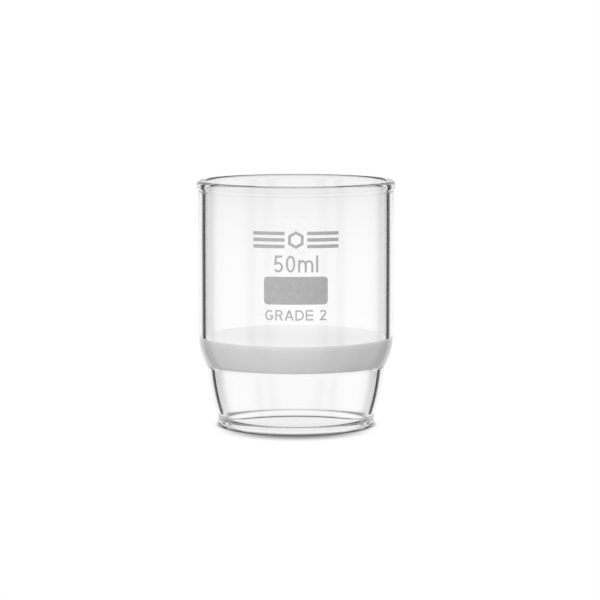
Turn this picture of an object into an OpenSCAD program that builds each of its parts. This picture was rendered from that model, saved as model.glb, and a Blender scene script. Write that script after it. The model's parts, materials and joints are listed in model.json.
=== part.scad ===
// Sintered-glass filter crucible: a straight glass cup, a porous glass disc fused across its lower
// part, and a tapered open skirt with a thick foot rim. Millimetres, +Z up, foot at z = 0, front at -Y.
// Every glass part is one outline, given as [radius, height] points, turned about the Z axis.

/* [Cup] */
// Height over all, from the foot to the rim
total_h = 58; // [54:0.5:70]
// Outside diameter of the straight cup
cup_d = 46; // [45:0.1:50]
// Thickness of the cup's wall
cup_wall = 1.5; // [1.3:0.05:1.8]
// Thickness of the rounded bead at the rim
bead_d = 1.9; // [1.8:0.05:2.2]
// How far the bead stands out beyond the cup
bead_proud = 0.4; // [0.3:0.05:0.5]
// Height of the straight side of the bead, under its round top
bead_straight = 0.45; // [0:0.05:0.8]

/* [Disc] */
// Height of the disc's underside above the foot
disc_z = 14.8; // [14.2:0.1:15.5]
// Thickness of the disc
disc_h = 6.4; // [5.5:0.1:7.5]
// Height where the skirt meets the ring of glass round the disc
seat_z = 14; // [13:0.1:14]
// How far below the disc's top the cup meets that ring
joint_depth = 0.9; // [0.6:0.1:1.2]
// Radius of the long curve of the shoulder round the disc
shoulder_r = 17; // [15:0.5:20]

/* [Skirt] */
// Outside diameter of the skirt above the foot rim
skirt_d = 37.24; // [36.8:0.01:37.6]
// Outside diameter of the foot rim
foot_d = 36.92; // [36.5:0.01:37.2]
// Thickness of the rounded foot rim
foot_bead_d = 2.1; // [1.8:0.1:2.4]
// Thickness of the skirt's wall just above the foot rim
skirt_low_wall = 1.2; // [0.8:0.05:1.4]
// Width of the flat land that the foot stands on
land_w = 0.5; // [0.3:0.1:0.8]

/* [Marks] */
// Thickness of the fired enamel
enamel_t = 0.05; // [0.04:0.01:0.1]
// Width of the sign and of its bars together
emblem_w = 19.5; // [12:0.5:24]
// Height of the six-sided ring in the sign
emblem_h = 4.1; // [3:0.1:5]
// Height of the sign's middle above the foot
emblem_z = 45.8; // [44:0.1:50]
// Height of the figures and letters of the capacity mark
capacity_h = 3.9; // [3:0.1:5]
// Height of the capacity mark's middle above the foot
capacity_z = 40.3; // [39:0.1:41]
// Width of the write-on panel
panel_w = 14.6; // [10:0.1:20]
// Height of the write-on panel
panel_h = 6.4; // [4:0.1:7]
// Radius of the write-on panel's corners
panel_r = 0.85; // [0.4:0.05:1.5]
// Height of the panel's middle above the foot
panel_z = 34.15; // [33:0.05:35]
// Height of the letters of the grade mark
grade_h = 2.4; // [2:0.1:2.6]
// Height of the grade mark's middle above the foot
grade_z = 28.5; // [27:0.1:29]

/* [Hidden] */
// Straight steps in each bend or curve of the shoulder
steps = 10;
// Largest angle that one straight step of an arc turns through
arc_step = 12;
$fn = 96;

cup_r = cup_d / 2;
bead_r = bead_d / 2;
bead_centre = [cup_r + bead_proud - bead_r, total_h - bead_r];
bead_low = bead_centre - [0, bead_straight];
bead_fillet_h = 0.9;
// Angle below level at which the bead's side runs into that fillet
bead_tuck = 30;

disc_top = disc_z + disc_h;
// The shoulder's curve starts a little above the disc, and its inner side is the disc's edge.
shoulder_top = disc_top + 1;
shoulder_centre = [cup_r - shoulder_r, shoulder_top];
disc_edge_r = shoulder_r - cup_wall;
joint_z = disc_top - joint_depth;

// The skirt swells a little between its seat and its low end, which these two values set.
belly_z = 8.3;
belly_in = 0.57;
skirt_low_z = 2.7;
skirt_inner_low = [skirt_d / 2 - skirt_low_wall, skirt_low_z + 0.5];
// Height towards which the foot rim's side heads on its way up to the skirt
foot_side_z = 2.2;
// Angle round the foot rim, from level outside, at which it runs into the skirt's inner wall
foot_top_angle = 120;
// The way it heads there
foot_top_lead = [0.3, 0.4];
foot_bead_r = foot_bead_d / 2;
foot_bead_centre = [foot_d / 2 - foot_bead_r, foot_bead_r];
land_angle = asin(land_w / 2 / foot_bead_r);
foot_sink = foot_bead_r * (1 - cos(land_angle));

glass_color = [0.78, 0.88, 0.90, 0.45];
disc_color = [0.94, 0.94, 0.93];
enamel_color = [0.65, 0.65, 0.66];

// Points of an arc round a centre, from angle a0 to angle a1, with half-widths r along X and Y
function arc(centre, r, a0, a1) =
    let (n = ceil(abs(a1 - a0) / arc_step))
    [for (i = [0 : n]) let (a = a0 + (a1 - a0) * i / n) centre + [r[0] * cos(a), r[1] * sin(a)]];

// Points of a circular arc of radius r
function round_arc(centre, r, a0, a1) = arc(centre, [r, r], a0, a1);

// Points of a smooth bend from p0 to p2 that heads for p1 at both ends
function bend(p0, p1, p2) =
    [for (i = [0 : steps]) let (t = i / steps) (1 - t) * (1 - t) * p0 + 2 * t * (1 - t) * p1 + t * t * p2];

// Radius and height of the shoulder's curve of radius r at height z
function shoulder_point(r, z) =
    [shoulder_centre[0] + sqrt(r * r - pow(shoulder_centre[1] - z, 2)), z];

// A stretch of that curve between two heights
function shoulder(r, z0, z1) =
    [for (i = [0 : steps]) shoulder_point(r, z0 + (z1 - z0) * i / steps)];

seat_outer = shoulder_point(shoulder_r, seat_z);
seat_inner = shoulder_point(disc_edge_r, seat_z);

// Straight cup with its beaded rim. Its low end curves in round the top of the disc.
module cup_barrel() {
    bead_outer = bead_low + bead_r * [cos(bead_tuck), -sin(bead_tuck)];
    outside = concat(
        shoulder(shoulder_r, joint_z, shoulder_top),
        bend([cup_r, bead_outer[1] - bead_fillet_h],
             [cup_r, bead_outer[1] - bead_fillet_h / 2], bead_outer),
        round_arc(bead_low, bead_r, -bead_tuck, 0),
        round_arc(bead_centre, bead_r, 0, 180));
    inside = shoulder(disc_edge_r, shoulder_top, joint_z);
    color(glass_color) rotate_extrude() polygon(concat(outside, inside));
}

// Glass collapsed round the edge of the disc and fused to it. It reaches a little below the disc.
module seal_ring() {
    outside = shoulder(shoulder_r, seat_z, joint_z);
    inside = shoulder(disc_edge_r, joint_z, seat_z);
    color(glass_color) rotate_extrude() polygon(concat(outside, inside));
}

// Porous disc of sintered glass granules. Its side follows the curve of the glass round it.
module sintered_disc() {
    edge = shoulder(disc_edge_r, disc_top, disc_z);
    color(disc_color) rotate_extrude() polygon(concat([[0, disc_z], [0, disc_top]], edge));
}

// Tapered open skirt, with the thick foot rim that turns inward
module skirt() {
    low_outer = [skirt_d / 2, skirt_low_z];
    belly = [seat_outer[0] - belly_in, belly_z];
    heel = [foot_d / 2, foot_bead_centre[1] - foot_sink];
    foot_centre = [foot_bead_centre[0], heel[1]];
    rim_top = foot_centre + foot_bead_r * [cos(foot_top_angle), sin(foot_top_angle)];
    outside = concat(
        bend(seat_outer, belly, low_outer),
        bend(low_outer, [foot_d / 2, foot_side_z], heel));
    foot = concat(
        round_arc(foot_centre, foot_bead_r, 0, land_angle - 90),
        round_arc(foot_centre, foot_bead_r, -90 - land_angle, foot_top_angle - 360));
    inside = concat(
        bend(rim_top, rim_top + foot_top_lead, skirt_inner_low),
        bend(skirt_inner_low, belly - [cup_wall, 0], seat_inner));
    color(glass_color) rotate_extrude() polygon(concat(outside, foot, inside));
}

// A flat shape, drawn in X and Z about a height, laid on the front of the cup as a thin coat
module coat(z, h) {
    color(enamel_color) intersection() {
        translate([0, 0, z - h]) difference() {
            cylinder(r = cup_r + enamel_t, h = 2 * h);
            translate([0, 0, -1]) cylinder(r = cup_r, h = 2 * h + 2);
        }
        translate([0, 0, z]) rotate([90, 0, 0]) linear_extrude(cup_r + 1) children();
    }
}

// Straight stroke with level ends, w wide along its ends, from p up to q
module slant(p, q, w) {
    polygon([p, p + [w, 0], q + [w, 0], q]);
}

// Curved stroke of width w inside the oval of half-widths r, from angle a0 to angle a1
module curve(centre, r, w, a0, a1) {
    polygon(concat(arc(centre, r, a0, a1), arc(centre, r - [w, w], a1, a0)));
}

// Six-sided ring between two sets of three bars
module emblem_shape() {
    ring_r = emblem_h / 2;
    ring_w = 0.75;
    bar_h = 0.8;
    bar_pitch = 1.5;
    bar_start = ring_r * cos(30) + 0.8;
    bar_l = emblem_w / 2 - bar_start;
    corners = [for (i = [0 : 5]) [cos(60 * i + 30), sin(60 * i + 30)]];
    difference() {
        polygon(ring_r * corners);
        polygon((ring_r - ring_w) * corners);
    }
    for (side = [-1, 1], row = [-1 : 1])
        translate([side * (bar_start + bar_l / 2), row * bar_pitch]) square([bar_l, bar_h], center = true);
}

// Each figure and letter below stands on the X axis from x = 0, h high, d wide, with strokes w thick.

module figure_five(h, d, w) {
    bowl = [d / 2, 0.31 * h];
    curve(bowl, bowl, w, -150, 140);
    slant([0.06 * d, 0.44 * h], [0.17 * d, h], w);
    translate([0.17 * d, h - w]) square([0.74 * d, w]);
}

module figure_zero(h, d, w) {
    r = [d / 2, h / 2];
    difference() {
        polygon(arc(r, r, 0, 360));
        polygon(arc(r, r - [w, w], 0, 360));
    }
}

module small_m(h, d, w) {
    arch_d = (d + w) / 2;
    r = [arch_d / 2, 0.42 * h];
    square([w, h]);
    for (x = [0, arch_d - w]) {
        curve([x + r[0], h - r[1]], r, w, 0, 180);
        translate([x + arch_d - w, 0]) square([w, h - r[1]]);
    }
}

module letter_g(h, d, w) {
    r = [d / 2, h / 2];
    spur_x = 0.93 * d;
    curve(r, r, w, 42, 328);
    translate([spur_x - w, 0.24 * h]) square([w, 0.26 * h]);
    translate([0.52 * d, 0.5 * h - w]) square([spur_x - 0.52 * d, w]);
}

// Also the round part of the letter R, when it is low
module letter_d(h, d, w) {
    r = [min(d - w, h / 2), h / 2];
    square([w, h]);
    for (y = [0, h - w]) translate([0, y]) square([d - r[0], w]);
    curve([d - r[0], r[1]], r, w, -90, 90);
}

module letter_r(h, d, w) {
    low = 0.42 * h;
    square([w, h]);
    translate([0, low]) letter_d(h - low, 0.93 * d, w);
    slant([d - 1.25 * w, 0], [0.42 * d, low + w / 2], 1.25 * w);
}

module letter_a(h, d, w) {
    top = [(d - 1.2 * w) / 2, h];
    for (x = [0, d - 1.2 * w]) slant([x, 0], top, 1.2 * w);
    translate([0.2 * d, 0.25 * h]) square([0.6 * d, w]);
}

module letter_e(h, d, w) {
    square([w, h]);
    for (y = [0, (h - w) / 2, h - w]) translate([0, y]) square([d, w]);
}

module figure_two(h, d, w) {
    r = [d / 2, 0.29 * h];
    curve([r[0], h - r[1]], r, w, -32, 165);
    slant([0, w / 2], [0.66 * d, 0.62 * h], 1.4 * w);
    square([d, w]);
}

// Capacity in millilitres
module capacity_shape() {
    h = capacity_h;
    w = 0.125 * h;
    figure_d = 0.56 * h;
    m_d = 0.9 * h;
    gap = 0.16 * h;
    m_x = 2 * (figure_d + gap);
    l_x = m_x + m_d + gap;
    translate([-(l_x + w) / 2, -h / 2]) {
        figure_five(h, figure_d, w);
        translate([figure_d + gap, 0]) figure_zero(h, figure_d, w);
        translate([m_x, 0]) small_m(0.73 * h, m_d, w);
        translate([l_x, 0]) square([w, h]);
    }
}

// Porosity grade, with the left edge of each letter at its place in letter heights
module grade_shape() {
    h = grade_h;
    w = 0.14 * h;
    full_w = 5.84 * h;
    translate([-full_w / 2, -h / 2]) {
        letter_g(h, 0.8 * h, w);
        translate([0.95 * h, 0]) letter_r(h, 0.75 * h, w);
        translate([1.84 * h, 0]) letter_a(h, 0.88 * h, w);
        translate([2.87 * h, 0]) letter_d(h, 0.82 * h, w);
        translate([3.86 * h, 0]) letter_e(h, 0.72 * h, w);
        translate([5.2 * h, 0]) figure_two(h, 0.64 * h, w);
    }
}

// Rectangle with round corners, about its middle
module rounded_rectangle(w, h, r) {
    x = w / 2 - r;
    y = h / 2 - r;
    polygon(concat(round_arc([x, y], r, 0, 90), round_arc([-x, y], r, 90, 180),
                   round_arc([-x, -y], r, 180, 270), round_arc([x, -y], r, 270, 360)));
}

module emblem_mark() { coat(emblem_z, emblem_h) emblem_shape(); }

module capacity_mark() { coat(capacity_z, capacity_h) capacity_shape(); }

module write_on_panel() { coat(panel_z, panel_h) rounded_rectangle(panel_w, panel_h, panel_r); }

module grade_mark() { coat(grade_z, grade_h) grade_shape(); }

cup_barrel();
seal_ring();
sintered_disc();
skirt();
emblem_mark();
capacity_mark();
write_on_panel();
grade_mark();
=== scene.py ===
"""Looks of a sintered-glass filter crucible: fused glass, a porous disc and fired enamel marks."""

import json
import math

import bmesh
import bpy
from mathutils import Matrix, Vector, noise


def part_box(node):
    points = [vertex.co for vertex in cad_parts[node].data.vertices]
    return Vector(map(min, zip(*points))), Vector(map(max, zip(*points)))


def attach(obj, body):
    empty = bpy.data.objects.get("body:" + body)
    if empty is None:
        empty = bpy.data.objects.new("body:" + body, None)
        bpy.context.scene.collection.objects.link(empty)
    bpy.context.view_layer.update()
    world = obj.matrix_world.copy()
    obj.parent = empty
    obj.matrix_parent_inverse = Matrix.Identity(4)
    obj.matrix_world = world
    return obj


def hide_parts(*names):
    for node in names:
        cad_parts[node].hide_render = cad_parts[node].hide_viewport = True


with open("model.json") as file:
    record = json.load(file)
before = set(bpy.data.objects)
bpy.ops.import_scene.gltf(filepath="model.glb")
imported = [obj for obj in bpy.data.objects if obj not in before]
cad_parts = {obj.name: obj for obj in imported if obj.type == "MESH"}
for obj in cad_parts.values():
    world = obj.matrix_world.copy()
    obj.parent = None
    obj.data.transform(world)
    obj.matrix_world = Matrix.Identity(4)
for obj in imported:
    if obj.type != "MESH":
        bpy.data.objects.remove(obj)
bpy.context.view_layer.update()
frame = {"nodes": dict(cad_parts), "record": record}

# The pieces are worked out in millimetres, and MM turns them into metres.
MM = 0.001

# ---------------------------------------------------------------- sizes, in millimetres


def mount(name):
    """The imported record's mount of that name."""
    return next(m for m in frame["record"]["mounts"] if m["name"] == name)


def low_of(node):
    """Height of the lowest point of a CAD node."""
    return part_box(node)[0].z / MM


def top_of(node):
    """Height of the highest point of a CAD node."""
    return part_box(node)[1].z / MM


CUP_R = mount("barrel")["dims"]["r_mm"]
BORE_R = mount("cup_bore")["dims"]["r_mm"]
WALL = CUP_R - BORE_R
RIM_Z = top_of("cup_barrel")
DISC_TOP = top_of("sintered_disc")
DISC_LOW = low_of("sintered_disc")
SEAL_LOW = low_of("seal_ring")

# The rim's bead: a round top, a short straight side, and a fillet that runs down into the cup.
BEAD_OUT_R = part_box("cup_barrel")[1].x / MM
BEAD_R = (BEAD_OUT_R - BORE_R) / 2
BEAD_STRAIGHT = 0.45
BEAD_TUCK = 30  # degrees below level at which the bead's side runs into the fillet
BEAD_FILLET_H = 0.9

# The shoulder round the disc is one long curve outside and another, a wall nearer the axis, inside.
SHOULDER_R = 17.0
SHOULDER_TOP = DISC_TOP + 1.0
EDGE_R = SHOULDER_R - WALL

# The skirt swells a little on its way down, and thins towards its foot rim.
BELLY_Z = 8.3
BELLY_IN = 0.57
LOW_R = 18.62
LOW_Z = 2.7
LOW_WALL = 1.2
INNER_LOW_Z = LOW_Z + 0.5

# The foot rim is a round bead with a narrow flat land that it stands on.
FOOT_R = 18.46
FOOT_BEAD_R = 1.05
FOOT_SIDE_Z = 2.2
FOOT_TOP_ANGLE = 120  # degrees from level outside at which the bead runs into the inner wall
FOOT_TOP_LEAD = (0.3, 0.4)
LAND_W = 0.5

# Straight steps once round the axis, in each bend, in the shoulder and in the cup's straight wall.
TURN_STEPS = 576
BEND_STEPS = 10
SHOULDER_STEPS = 16
WALL_STEPS = 3
ARC_STEP = 7.5  # the most degrees in a step of an arc

# ---------------------------------------------------------------- outlines of (radius, height)


def on_circle(centre, radius, degrees):
    """The point of a circle at that angle from level outside."""
    angle = math.radians(degrees)
    return (centre[0] + radius * math.cos(angle), centre[1] + radius * math.sin(angle))


def arc(centre, radius, start, end):
    """Points of a circular arc between two angles in degrees."""
    steps = math.ceil(abs(end - start) / ARC_STEP)
    return [on_circle(centre, radius, start + (end - start) * i / steps) for i in range(steps + 1)]


def bend(p0, p1, p2):
    """Points of a smooth bend from p0 to p2 that heads for p1 at both ends."""
    points = []
    for i in range(BEND_STEPS + 1):
        t = i / BEND_STEPS
        weights = ((1 - t) ** 2, 2 * t * (1 - t), t * t)
        points.append(tuple(sum(w * p[k] for w, p in zip(weights, (p0, p1, p2))) for k in (0, 1)))
    return points


def line(p0, p1, steps):
    """Points of a straight stretch."""
    return [tuple(p0[k] + (p1[k] - p0[k]) * i / steps for k in (0, 1)) for i in range(steps + 1)]


def shoulder_point(radius, z):
    """The point at height z of the shoulder's curve of that radius."""
    return (CUP_R - SHOULDER_R + math.sqrt(radius ** 2 - (SHOULDER_TOP - z) ** 2), z)


def shoulder(radius, z0, z1):
    """Points of that curve between two heights."""
    return [shoulder_point(radius, z0 + (z1 - z0) * i / SHOULDER_STEPS) for i in range(SHOULDER_STEPS + 1)]


def cup_outline():
    """The cup and the glass round the disc: up outside from the skirt's top, over the rim, down inside."""
    bead = (BEAD_OUT_R - BEAD_R, RIM_Z - BEAD_R)
    bead_low = (bead[0], bead[1] - BEAD_STRAIGHT)
    bead_outer = on_circle(bead_low, BEAD_R, -BEAD_TUCK)
    fillet_z = bead_outer[1] - BEAD_FILLET_H
    return (
        shoulder(SHOULDER_R, SEAL_LOW, SHOULDER_TOP)
        + line((CUP_R, SHOULDER_TOP), (CUP_R, fillet_z), WALL_STEPS)
        + bend((CUP_R, fillet_z), (CUP_R, fillet_z + BEAD_FILLET_H / 2), bead_outer)
        + arc(bead_low, BEAD_R, -BEAD_TUCK, 0)
        + arc(bead, BEAD_R, 0, 180)
        + line((BORE_R, bead[1]), (BORE_R, SHOULDER_TOP), WALL_STEPS)
        + shoulder(EDGE_R, SHOULDER_TOP, SEAL_LOW)
    )


def skirt_outline():
    """The skirt: down inside from its top, round the foot rim, and up outside."""
    half_land = math.degrees(math.asin(LAND_W / 2 / FOOT_BEAD_R))
    centre = (FOOT_R - FOOT_BEAD_R, FOOT_BEAD_R * math.cos(math.radians(half_land)))
    outer = shoulder_point(SHOULDER_R, SEAL_LOW)
    inner = shoulder_point(EDGE_R, SEAL_LOW)
    belly = (outer[0] - BELLY_IN, BELLY_Z)
    inner_belly = (belly[0] - WALL, BELLY_Z)
    inner_low = (LOW_R - LOW_WALL, INNER_LOW_Z)
    foot_top = on_circle(centre, FOOT_BEAD_R, FOOT_TOP_ANGLE)
    foot_lead = (foot_top[0] + FOOT_TOP_LEAD[0], foot_top[1] + FOOT_TOP_LEAD[1])
    return (
        bend(inner, inner_belly, inner_low)
        + bend(inner_low, foot_lead, foot_top)
        + arc(centre, FOOT_BEAD_R, FOOT_TOP_ANGLE - 360, -90 - half_land)
        + arc(centre, FOOT_BEAD_R, half_land - 90, 0)
        + bend((FOOT_R, centre[1]), (FOOT_R, FOOT_SIDE_Z), (LOW_R, LOW_Z))
        + bend((LOW_R, LOW_Z), belly, outer)
    )


# ---------------------------------------------------------------- meshes

# Outline points closer than this are one point.
SAME_POINT = 1e-6
SHARP_EDGE = math.radians(15)

# Drawn tube is never quite round. It stays this far inside its CAD size, which also keeps the
# enamel clear of the glass, and wavers by SWAY to either side of that.
DRAWN_IN = 0.016
SWAY = 0.004
SWAY_LOBES = 2.2

# The disc's granules reach a hair into the glass that is fused to them.
DISC_BITE = 0.04
DISC_TOP_STEPS = 80
DISC_UNDER_STEPS = 40
# Its faces lie a little hollow and uneven, from RELIEF_START inside its widest radius inwards.
RELIEF_START = 0.5
RELIEF_RISE = 1.5
HOLLOW = 0.03
GRAIN_DEPTH = 0.02
GRAINS_PER_MM = 1.1
FINE_GRAINS_PER_MM = 2.3
FINE_SHARE = 0.5


def skin(bm, rings):
    """Faces between each closed ring of points and the next."""
    for here, there in zip(rings, rings[1:]):
        for k in range(len(here)):
            j = (k + 1) % len(here)
            bm.faces.new((here[k], there[k], there[j], here[j]))


def finish_mesh(name, bm):
    """An object made of that mesh, with smooth faces and crisp corners."""
    mesh = bpy.data.meshes.new(name)
    bm.to_mesh(mesh)
    bm.free()
    mesh.shade_smooth()
    mesh.set_sharp_from_angle(angle=SHARP_EDGE)
    piece = bpy.data.objects.new(name, mesh)
    bpy.context.scene.collection.objects.link(piece)
    return piece


def turn_angles():
    """The angles of the steps once round the axis."""
    return [2 * math.pi * k / TURN_STEPS for k in range(TURN_STEPS)]


def drawn_in(angle):
    """How far the glass lies inside its CAD size on that side."""
    return DRAWN_IN + SWAY * noise.noise(Vector((math.cos(angle), math.sin(angle), 0)) * SWAY_LOBES)


def glass_mesh(name):
    """The fused glass: its closed outline turned about the axis."""
    outline = cup_outline() + skirt_outline()
    kept = [p for i, p in enumerate(outline) if math.dist(p, outline[i - 1]) > SAME_POINT]
    bm = bmesh.new()
    rings = []
    for angle in turn_angles():
        inwards = drawn_in(angle)
        way_out = Vector((math.cos(angle), math.sin(angle), 0))
        rings.append([bm.verts.new((way_out * (r - inwards) + Vector((0, 0, z))) * MM) for r, z in kept])
    skin(bm, rings + rings[:1])
    bmesh.ops.recalc_face_normals(bm, faces=bm.faces)
    return finish_mesh(name, bm)


def disc_point(r, z, angle, flat_r):
    """A point of the disc, which its granules move up or down where it lies inside flat_r."""
    point = Vector((r * math.cos(angle), r * math.sin(angle), z))
    relief = min(max((flat_r - r) / RELIEF_RISE, 0.0), 1.0)
    grain = noise.noise(point * GRAINS_PER_MM) + FINE_SHARE * noise.noise(point * FINE_GRAINS_PER_MM)
    hollow = -HOLLOW if z == DISC_TOP else HOLLOW
    point.z += relief * (GRAIN_DEPTH * grain + hollow)
    return point * MM


def disc_mesh(name):
    """The porous disc: faces made uneven by its granules, and an edge that follows the glass."""
    edge = [(r + DISC_BITE, z) for r, z in shoulder(EDGE_R, DISC_TOP, DISC_LOW)]
    top = line((0, DISC_TOP), edge[0], DISC_TOP_STEPS)[1:-1]
    under = line(edge[-1], (0, DISC_LOW), DISC_UNDER_STEPS)[1:-1]
    flat_r = edge[0][0] - RELIEF_START
    bm = bmesh.new()
    rings = []
    for r, z in top + edge + under:
        rings.append([bm.verts.new(disc_point(r, z, angle, flat_r)) for angle in turn_angles()])
    skin(bm, rings)
    for ring, z in ((rings[0], DISC_TOP - HOLLOW), (rings[-1], DISC_LOW + HOLLOW)):
        hub = bm.verts.new((0, 0, z * MM))
        for k in range(TURN_STEPS):
            bm.faces.new((hub, ring[k], ring[(k + 1) % TURN_STEPS]))
    bmesh.ops.recalc_face_normals(bm, faces=bm.faces)
    return finish_mesh(name, bm)


# ---------------------------------------------------------------- node graphs


class Graph:
    """Short calls for the nodes of one node tree."""

    def __init__(self, tree):
        self.nodes = tree.nodes
        self.links = tree.links
        self.nodes.clear()

    def feed(self, socket, value):
        """Link another node's output to the socket, or set its value."""
        if isinstance(value, bpy.types.NodeSocket):
            self.links.new(value, socket)
        else:
            socket.default_value = value

    def add(self, kind, **inputs):
        """A new node, its inputs fed by name with _ for a space."""
        node = self.nodes.new(kind)
        for name, value in inputs.items():
            self.feed(node.inputs[name.replace("_", " ")], value)
        return node

    def math(self, operation, *values):
        """The result of one Math node."""
        node = self.nodes.new("ShaderNodeMath")
        node.operation = operation
        for socket, value in zip(node.inputs, values):
            self.feed(socket, value)
        return node.outputs["Value"]

    def mix(self, factor, off, on):
        """The value off where factor is 0, and on where it is 1."""
        return self.add("ShaderNodeMix", Factor=factor, A=off, B=on).outputs["Result"]

    def at_least_one(self, depth):
        """1 where a ray's depth is 1 or more, and otherwise 0."""
        return self.math("GREATER_THAN", depth, 0.5)

    def exactly(self, depth, number):
        """1 where a ray's depth is that number, and otherwise 0."""
        return self.math("COMPARE", depth, number, 0.5)

    def distance(self, place, centre):
        """How far a place is from a fixed centre."""
        node = self.nodes.new("ShaderNodeVectorMath")
        node.operation = "DISTANCE"
        self.feed(node.inputs[0], place)
        node.inputs[1].default_value = centre
        return node.outputs["Value"]

    def fade(self, value, start, end, low, high):
        """A smooth change from low at start to high at end."""
        node = self.nodes.new("ShaderNodeMapRange")
        node.interpolation_type = "SMOOTHSTEP"
        for socket, number in zip(node.inputs, (value, start, end, low, high)):
            self.feed(socket, number)
        return node.outputs["Result"]

    def ramp(self, value, stops, top):
        """A value from 0 to top turned into a level, by straight lines between the stops."""
        node = self.nodes.new("ShaderNodeValToRGB")
        elements = node.color_ramp.elements
        while len(elements) < len(stops):
            elements.new(0.5)
        for element, (place, level) in zip(elements, stops):
            element.position = place / top
            element.color = (level, level, level, 1)
        self.feed(node.inputs["Fac"], self.math("DIVIDE", value, top))
        return node.outputs["Color"]

    def noise(self, place, **inputs):
        """Noise between 0 and 1 at that place."""
        return self.add("ShaderNodeTexNoise", Vector=place, **inputs).outputs["Fac"]

    def tones(self, grain, limits):
        """Noise, of which most lies between 0.3 and 0.7, turned into tones between the limits."""
        dark, light = limits
        node = self.add(
            "ShaderNodeMapRange", Value=grain, From_Min=0.3, From_Max=0.7, To_Min=dark, To_Max=light,
        )
        return node.outputs["Result"]


def new_material(name):
    """A material of that name, its empty graph, and the place on the object that it colours."""
    material = bpy.data.materials.new(name)
    material.use_nodes = True
    graph = Graph(material.node_tree)
    return material, graph, graph.add("ShaderNodeTexCoord").outputs["Object"]


# ---------------------------------------------------------------- materials

# Tint of the glass by height in millimetres: painted shade that darkens it towards the rim.
GLASS_SHADE_BY_HEIGHT = ((0, 1.0), (30, 1.0), (42, 0.99), (50, 0.972), (54, 0.95), (56.5, 0.925), (58, 0.85))
BOROSILICATE_IOR = 1.473
# Darkest and lightest tone of the disc's granules, and of the enamel's mottle
DISC_TONES = (0.86, 0.94)
ENAMEL_TONES = (0.43, 0.475)
# Features of the noise in a metre, how far its bumps rise, and how far light soaks in
DISC_GRAIN = 5200
ENAMEL_MOTTLE = 900
DISC_BUMP_H = 0.06 * MM
DISC_SOAK = 1.5 * MM


def glass_material():
    """Clear fire-polished borosilicate glass, with painted shade that darkens it towards the rim."""
    material, g, place = new_material("borosilicate_glass")
    height = g.add("ShaderNodeSeparateXYZ", Vector=place).outputs["Z"]
    # The base colour carries painted shade, darker towards the rim.
    shader = g.add(
        "ShaderNodeBsdfPrincipled",
        Base_Color=g.ramp(height, [(z * MM, level) for z, level in GLASS_SHADE_BY_HEIGHT], RIM_Z * MM),
        Roughness=0.0,
        IOR=BOROSILICATE_IOR,
        Transmission_Weight=1.0,
    )
    g.add("ShaderNodeOutputMaterial", Surface=shader.outputs["BSDF"])
    return material


def disc_material():
    """Matt white granules of sintered glass, which light soaks into."""
    material, g, place = new_material("sintered_glass")
    grain = g.noise(place, Scale=DISC_GRAIN, Detail=3)
    bump = g.add("ShaderNodeBump", Strength=0.35, Distance=DISC_BUMP_H, Height=grain)
    shader = g.add(
        "ShaderNodeBsdfPrincipled",
        Base_Color=g.tones(grain, DISC_TONES),
        Normal=bump.outputs["Normal"],
        Roughness=0.85,
        Subsurface_Weight=1.0,
        Subsurface_Radius=(1, 1, 1),
        Subsurface_Scale=DISC_SOAK,
    )
    g.add("ShaderNodeOutputMaterial", Surface=shader.outputs["BSDF"])
    return material


def enamel_material():
    """Matt grey fired enamel with a faint mottle."""
    material, g, place = new_material("grey_enamel")
    mottle = g.noise(place, Scale=ENAMEL_MOTTLE)
    shader = g.add("ShaderNodeBsdfPrincipled", Base_Color=g.tones(mottle, ENAMEL_TONES), Roughness=0.6)
    g.add("ShaderNodeOutputMaterial", Surface=shader.outputs["BSDF"])
    return material


# ---------------------------------------------------------------- pieces


def place_piece(piece, material, slot, *nodes):
    """Give a piece its material and body, and the CAD nodes that it stands in for."""
    piece.data.materials.append(material)
    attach(piece, "root")
    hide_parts(*nodes)


def build_pieces():
    """The fused glass, the disc in it and the marks on it."""
    # The flame-worked joints leave no face in the glass, so cup, seal ring and skirt show as one.
    glass = glass_mesh("fused_glass")
    place_piece(glass, glass_material(), "glass", "cup_barrel", "seal_ring", "skirt")
    place_piece(disc_mesh("porous_disc"), disc_material(), "sintered_glass", "sintered_disc")
    enamel = enamel_material()
    for node in ("emblem_mark", "capacity_mark", "write_on_panel", "grade_mark"):
        for material_slot in frame["nodes"][node].material_slots:
            material_slot.material = enamel


# ---------------------------------------------------------------- floor, with lengths in metres

FLOOR_SIZE = 4.0
FLOOR_DROP = 0.00002
MAT_R = 0.024
FLOOR_SEGMENTS = 128
CONTACT_REACH = 0.0012
# The painted shade inside the foot, where the disc above would shade the floor, ends between the first two
# radii. The painted shade round it, which only the glass shows, fades out between the last two.
INSIDE_R = 0.0165
OUTSIDE_R = 0.0172
RING_R = 0.0185
RING_END_R = 0.0215
# Levels of the painted shade inside the foot, and of the painted shade round it
INSIDE_FOOT_SHADE = 0.87
RING_GLOW = 0.1
# The soft shadow that the camera sees is a painted round patch with a wide edge, set forward of the foot.
SHADOW_CENTRE = (0, -0.009, 0)
SHADOW_R = 0.0145
SHADOW_FADE = 0.009
SHADOW_GLOW = 0.25
# Strength of the floor as matt surfaces are lit by it
GLOW_ON_MATT = 0.3


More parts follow.
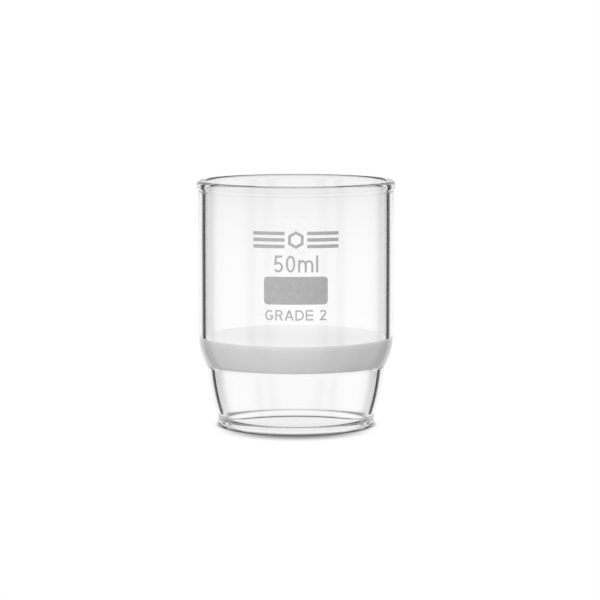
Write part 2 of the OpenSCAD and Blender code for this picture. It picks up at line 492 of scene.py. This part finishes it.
def floor_material():
    """White paper that glows evenly, and is dimmed only under the object and close round it, by painted
    shade and a painted shadow.
    """
    material, g, place = new_material("white_floor")
    contact = g.add("ShaderNodeAmbientOcclusion", Distance=CONTACT_REACH).outputs["AO"]
    path = g.add("ShaderNodeLightPath").outputs
    from_centre = g.distance(place, (0, 0, 0))
    # Painted shade inside the foot, and a painted shade ring round it that the glass shows
    inside = g.fade(from_centre, INSIDE_R, OUTSIDE_R, 1.0, 0.0)
    ring = g.fade(from_centre, RING_R, RING_END_R, RING_GLOW, 1.0)
    # A painted shadow, forward of the foot, that only the camera sees
    shadow_start = SHADOW_R - SHADOW_FADE / 2
    from_shadow = g.distance(place, SHADOW_CENTRE)
    shadow = g.fade(from_shadow, shadow_start, shadow_start + SHADOW_FADE, SHADOW_GLOW, 1.0)
    around = g.mix(path["Is Camera Ray"], ring, shadow)
    glow = g.math("MULTIPLY", contact, g.mix(inside, around, INSIDE_FOOT_SHADE))
    strength = g.mix(g.at_least_one(path["Diffuse Depth"]), glow, GLOW_ON_MATT)
    emission = g.add("ShaderNodeEmission", Color=(1, 1, 1, 1), Strength=strength)
    g.add("ShaderNodeOutputMaterial", Surface=emission.outputs["Emission"])
    return material


def circle(bm, radius, filled):
    """The points of a circle on the floor."""
    made = bmesh.ops.create_circle(bm, cap_ends=filled, radius=radius, segments=FLOOR_SEGMENTS)
    return made["verts"]


def floor():
    """A wide floor that only the camera sees, round a mat that shows in the glass too."""
    material = floor_material()
    bm = bmesh.new()
    circle(bm, MAT_R, True)
    mat = finish_mesh("mat", bm)
    bm = bmesh.new()
    skin(bm, [circle(bm, MAT_R, False), circle(bm, FLOOR_SIZE, False)])
    bmesh.ops.recalc_face_normals(bm, faces=bm.faces)
    ground = finish_mesh("floor", bm)
    ground.visible_transmission = False
    ground.visible_glossy = False
    ground.visible_diffuse = False
    for piece in (mat, ground):
        piece.location.z = -FLOOR_DROP
        piece.data.materials.append(material)


# ---------------------------------------------------------------- light

# Strength of the tent for light that goes straight through the glass, by the degrees between its
# direction and the nearest of front, back, left and right. The dark stretches are the tent's posts.
THROUGH = (
    (0, 1.0), (6, 1.0), (9.5, 0.95), (13, 0.85), (17.5, 0.6), (22, 0.2), (25, 0.0), (36, 0.0), (39, 1.0),
)
# The same for light turned back by the inner face of a wall, and by an outer face.
TURNED = ((0, 1.0), (16, 0.95), (21, 0.85), (25, 0.6), (28.5, 0.1), (31.2, 0.0), (38, 0.0), (40, 1.0))
GRAZED = ((0, 0.9), (26, 0.95), (31, 0.9), (35, 0.4), (39, 0.2), (45, 0.2))
# And for light that has been reflected deeper in the glass.
DEEP = 0.85
EIGHTH_TURN = math.pi / 4
# Strength of the tent by the sine of the height above the horizon, and below it.
UPPER = ((0, 1.0), (0.3, 1.0), (0.45, 0.9), (0.6, 0.6), (0.75, 0.35), (0.95, 0.3), (1, 0.5))
LOWER = ((0, 1.0), (0.3, 1.0), (0.45, 0.9), (0.55, 0.5), (0.65, 0.1), (0.95, 0.05), (1, 0.3))
# Light that has gone through one wall alone gets only this share of the change by height.
ONE_WALL_SHARE = 0.5
# Light on matt surfaces: some from all round, some from front and back, and some from above.
ROUND_LIGHT = 0.07
FRONT_LIGHT = 1.66
TOP_LIGHT = 1.02
FRONT_TURN = math.radians(14)


def glass_light(g, axes, path):
    """Strength of the tent as the glass shows it, by direction and by what has turned the light."""
    fold = g.math("PINGPONG", g.math("ARCTAN2", axes["X"], axes["Y"]), EIGHTH_TURN)
    through, turned, grazed = (
        g.ramp(fold, [(math.radians(degrees), level) for degrees, level in stops], EIGHTH_TURN)
        for stops in (THROUGH, TURNED, GRAZED)
    )
    reflected = g.at_least_one(path["Glossy Depth"])
    outside = g.exactly(path["Transmission Depth"], 0)
    one_wall = g.exactly(path["Transmission Depth"], 2)
    bounced = g.mix(one_wall, g.mix(outside, DEEP, grazed), turned)
    around = g.mix(reflected, through, bounced)
    above = g.ramp(axes["Z"], UPPER, 1)
    below = g.ramp(g.math("MULTIPLY", axes["Z"], -1), LOWER, 1)
    tiers = g.math("MULTIPLY", above, below)
    softened = g.math("MULTIPLY_ADD", tiers, ONE_WALL_SHARE, 1 - ONE_WALL_SHARE)
    direct = g.math("MULTIPLY", g.math("SUBTRACT", 1, reflected), one_wall)
    return g.math("MULTIPLY", around, g.mix(direct, tiers, softened))


def matt_light(g, axes):
    """Strength of the soft light that falls on matt surfaces, by direction."""
    sky = g.math("MAXIMUM", axes["Z"], 0)
    top = g.math("MULTIPLY", g.math("MULTIPLY", sky, sky), TOP_LIGHT)
    sideways = g.math("MULTIPLY", axes["Y"], math.cos(FRONT_TURN))
    facing = g.math("MULTIPLY_ADD", axes["X"], math.sin(FRONT_TURN), sideways)
    front = g.math("MULTIPLY", g.math("MULTIPLY", facing, facing), FRONT_LIGHT)
    return g.math("ADD", g.math("ADD", top, front), ROUND_LIGHT)


def tent():
    """A white light tent with dark posts for the glass, and a soft light for matt surfaces."""
    world = bpy.data.worlds.new("tent")
    bpy.context.scene.world = world
    world.cycles.sampling_method = "NONE"
    world.use_nodes = True
    g = Graph(world.node_tree)
    direction = g.add("ShaderNodeTexCoord").outputs["Generated"]
    axes = g.add("ShaderNodeSeparateXYZ", Vector=direction).outputs
    path = g.add("ShaderNodeLightPath").outputs
    on_matt = g.at_least_one(path["Diffuse Depth"])
    light = g.mix(on_matt, glass_light(g, axes, path), matt_light(g, axes))
    # The background itself is plain white.
    seen = g.math("MAXIMUM", light, path["Is Camera Ray"])
    background = g.add("ShaderNodeBackground", Color=(1, 1, 1, 1), Strength=seen)
    g.add("ShaderNodeOutputWorld", Surface=background.outputs["Background"])


# ---------------------------------------------------------------- camera and scene

AIM = Vector((0.94, 0, 29.6)) * MM
CAMERA_DISTANCE = 0.709
CAMERA_ELEVATION = math.radians(6.09)
LENS = 180.0
SENSOR_WIDTH = 36
NEAREST = 0.01
FARTHEST = 20


def camera():
    """A long lens a little above the object, in front of it."""
    data = bpy.data.cameras.new("camera")
    data.lens = LENS
    data.sensor_width = SENSOR_WIDTH
    data.clip_start = NEAREST
    data.clip_end = FARTHEST
    view = bpy.data.objects.new("camera", data)
    bpy.context.scene.collection.objects.link(view)
    back = Vector((0, -math.cos(CAMERA_ELEVATION), math.sin(CAMERA_ELEVATION)))
    view.location = AIM + back * CAMERA_DISTANCE
    view.rotation_euler = (-back).to_track_quat("-Z", "Y").to_euler()
    bpy.context.scene.camera = view


def scene_settings():
    """Plain colours, crisp reflections, and enough bounces for light that passes many walls of glass."""
    scene = bpy.context.scene
    scene.view_settings.view_transform = "Standard"
    scene.cycles.max_bounces = 32
    scene.cycles.transmission_bounces = 32
    scene.cycles.glossy_bounces = 16
    scene.cycles.diffuse_bounces = 12
    scene.cycles.blur_glossy = 0


build_pieces()
camera()
floor()
tent()
scene_settings()
